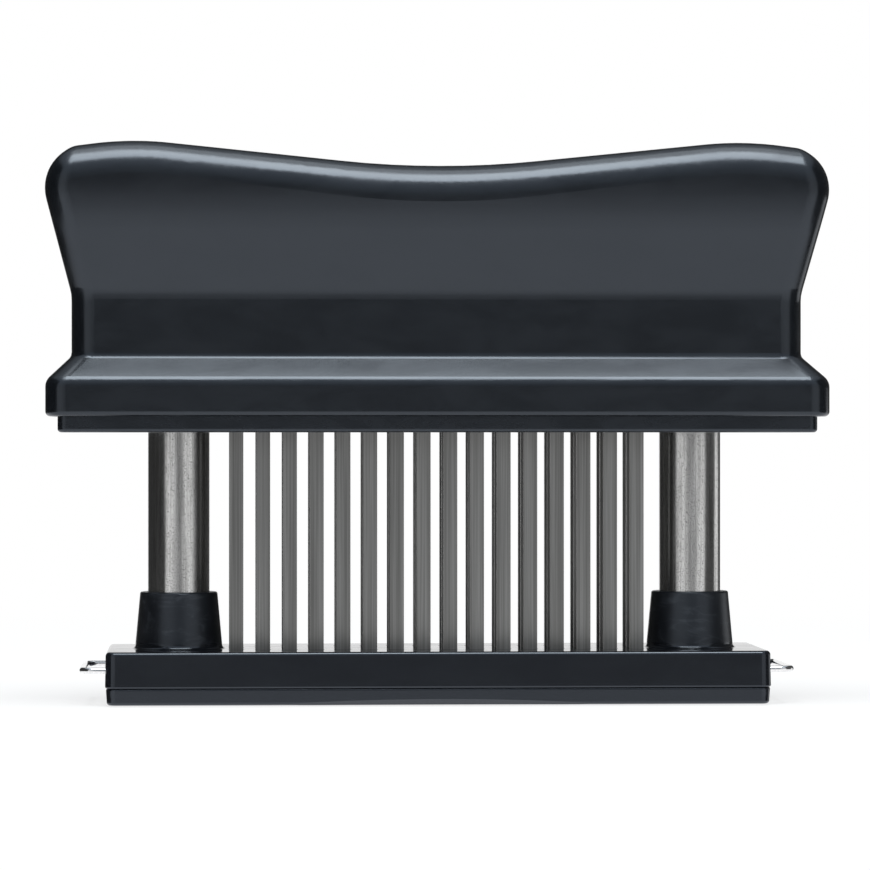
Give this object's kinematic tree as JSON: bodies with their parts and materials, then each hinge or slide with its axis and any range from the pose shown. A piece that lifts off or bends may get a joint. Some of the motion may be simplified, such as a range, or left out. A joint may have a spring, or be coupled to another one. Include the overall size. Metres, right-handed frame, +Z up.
{
  "type": "meat tenderizer",
  "caption": "Plunger meat tenderizer: a saddle-topped black handle on sprung steel columns drives rows of flat blades down through a slotted base closed by wire clips.",
  "frame": {"origin": "centre of the base's underside, on the surface the tool stands on", "axes": "+X along the handle, +Y from the front to the rear, +Z up, against the press stroke"},
  "size_m": [0.151, 0.038, 0.1082],
  "materials": {
    "handle_plastic": "satin moulded",
    "cover_plastic": "fine moulded",
    "base_plastic": "satin moulded",
    "column_steel": "brushed along the tube",
    "blade_steel": "ground along the strip",
    "spring_steel": "drawn wire",
    "clip_wire": "polished wire",
    "fitting_steel": "turned"
  },
  "bodies": {
    "base": {"base_tray": "base_plastic", "comb_plate": "base_plastic", "left_column": "column_steel", "right_column": "column_steel", "left_column_foot": "fitting_steel", "right_column_foot": "fitting_steel", "left_stop_ring": "fitting_steel", "right_stop_ring": "fitting_steel", "left_spring": "spring_steel", "right_spring": "spring_steel"},
    "handle": {"handle_shell": "handle_plastic", "cover_plate": "cover_plastic", "blade_clamp": "cover_plastic", "clamp_screws": "fitting_steel", "cover_screws": "fitting_steel", "blade_set_01": "blade_steel", "blade_set_02": "blade_steel", "blade_set_03": "blade_steel", "blade_set_04": "blade_steel", "blade_set_05": "blade_steel", "blade_set_06": "blade_steel", "blade_set_07": "blade_steel", "blade_set_08": "blade_steel", "blade_set_09": "blade_steel", "blade_set_10": "blade_steel", "blade_set_11": "blade_steel", "blade_set_12": "blade_steel", "blade_set_13": "blade_steel", "blade_set_14": "blade_steel", "blade_set_15": "blade_steel", "blade_set_16": "blade_steel"},
    "left_clip": {"left_lock_clip": "clip_wire"},
    "right_clip": {"right_lock_clip": "clip_wire"}
  },
  "joints": [
    {"name": "press_stroke", "type": "slide", "parent": "base", "child": "handle", "axis": [0, 0, -1], "range_m": [0, 0.03], "stiffness_N_per_m": 1000, "springref_m": -0.015, "deforming": ["left_spring", "right_spring"]},
    {"name": "left_clip_pull", "type": "slide", "parent": "base", "child": "left_clip", "axis": [-1, 0, 0], "range_m": [0, 0.021]},
    {"name": "right_clip_pull", "type": "slide", "parent": "base", "child": "right_clip", "axis": [1, 0, 0], "range_m": [0, 0.021]}
  ]
}
